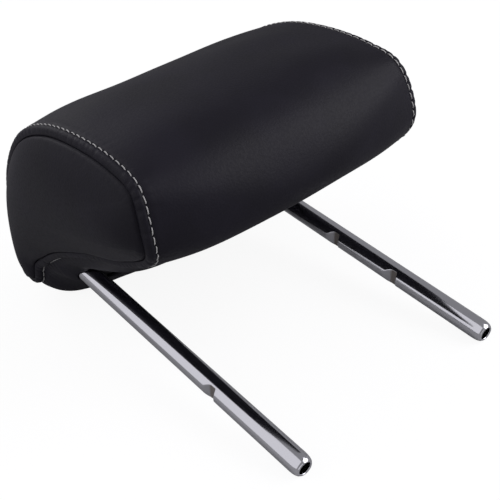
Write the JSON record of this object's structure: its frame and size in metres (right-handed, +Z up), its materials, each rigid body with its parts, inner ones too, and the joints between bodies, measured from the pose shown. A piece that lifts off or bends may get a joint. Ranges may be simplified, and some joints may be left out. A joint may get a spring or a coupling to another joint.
{
  "type": "car headrest",
  "caption": "Comma-shaped car headrest: a leather cushion with sewn ends and white topstitch, hanging forward of two chromed tube posts with height notches.",
  "frame": {"origin": "centre of the footprint, on the surface that the headrest lies on", "axes": "+X across the headrest, +Y level, from the post tips towards the cushion, +Z up; the headrest lies as it comes to rest, on its two post tips and the heel of its cushion, so the posts rise by about 9 degrees towards +Y"},
  "size_m": [0.2322, 0.2934, 0.179],
  "materials": {
    "leather": "smooth black, satin",
    "thread": "off-white bonded thread",
    "chrome": "bright polished",
    "foam": "grey moulded foam",
    "plastic": "black moulded",
    "screw": "zinc plated"
  },
  "bodies": {
    "root": {"post_frame": "chrome", "core_front_shell": "plastic", "core_rear_shell": "plastic", "core_screw_1": "screw", "core_screw_2": "screw", "core_screw_3": "screw", "core_screw_4": "screw", "foam_pad": "foam", "cover_centre_panel": "leather", "cover_end_panel_left": "leather", "cover_end_panel_right": "leather", "topstitch_left": "thread", "topstitch_right": "thread", "closure_hook_strip": "plastic", "closure_catch_strip": "plastic"}
  },
  "joints": []
}
